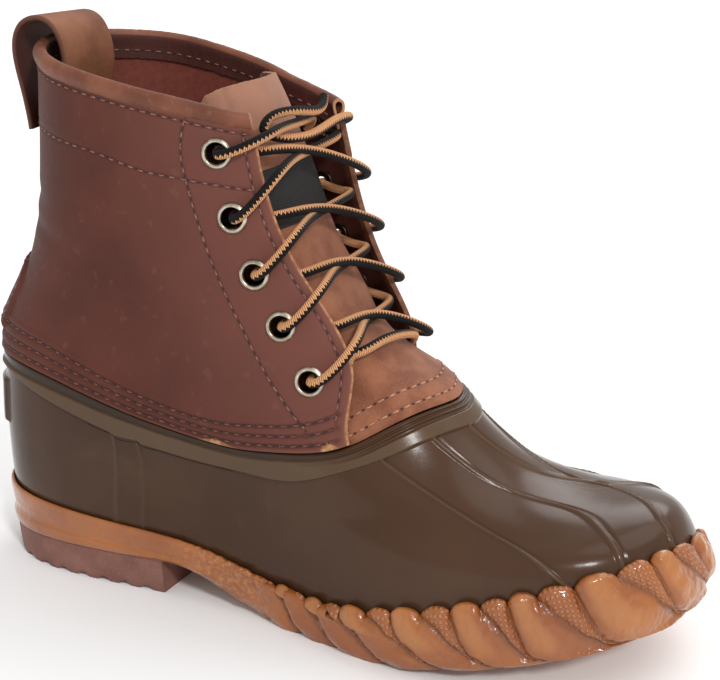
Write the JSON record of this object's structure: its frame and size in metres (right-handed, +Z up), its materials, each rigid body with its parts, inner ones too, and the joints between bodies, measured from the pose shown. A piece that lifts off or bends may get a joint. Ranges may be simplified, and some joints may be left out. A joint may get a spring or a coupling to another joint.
{
  "type": "rubber-bottomed lace-up boot",
  "caption": "Right lace-up boot: leather shaft sewn onto a moulded rubber bottom with a rope-edged gum sole, separate heel lift, bound collar and back pull loop.",
  "frame": {"origin": "bottom centre of the box round the boot without its lace ends; the floor is z = 0", "axes": "+Y towards the heel, so the toe points to -Y; +X towards the boot's inner side; +Z up"},
  "size_m": [0.1137, 0.3136, 0.2331],
  "materials": {
    "gum_rubber": "glossy moulded gum, rope pattern round the forefoot",
    "heel_rubber": "matt red-brown heel lift with ribs",
    "olive_rubber": "semi-gloss moulded olive-brown rubber",
    "felt": "matt felt board",
    "shaft_leather": "oiled reddish-brown leather, creased",
    "trim_leather": "softer tan-brown leather, cut edges lighter",
    "eyelet_metal": "worn pewter-coloured metal",
    "lace_cord": "braided round cord, black with a tan zigzag"
  },
  "bodies": {
    "root": {"outsole": "gum_rubber", "heel_lift": "heel_rubber", "rubber_bottom": "olive_rubber", "insole": "felt", "leather_shaft": "shaft_leather", "tongue": "trim_leather", "collar_binding": "trim_leather", "pull_loop": "trim_leather", "eyelet_outer_1": "eyelet_metal", "eyelet_outer_2": "eyelet_metal", "eyelet_outer_3": "eyelet_metal", "eyelet_outer_4": "eyelet_metal", "eyelet_outer_5": "eyelet_metal", "eyelet_inner_1": "eyelet_metal", "eyelet_inner_2": "eyelet_metal", "eyelet_inner_3": "eyelet_metal", "eyelet_inner_4": "eyelet_metal", "eyelet_inner_5": "eyelet_metal", "lace_crossing_1": "lace_cord", "lace_crossing_2": "lace_cord", "lace_crossing_3": "lace_cord", "lace_crossing_4": "lace_cord", "lace_bar": "lace_cord", "lace_end_outer": "lace_cord", "lace_end_inner": "lace_cord"}
  },
  "joints": []
}
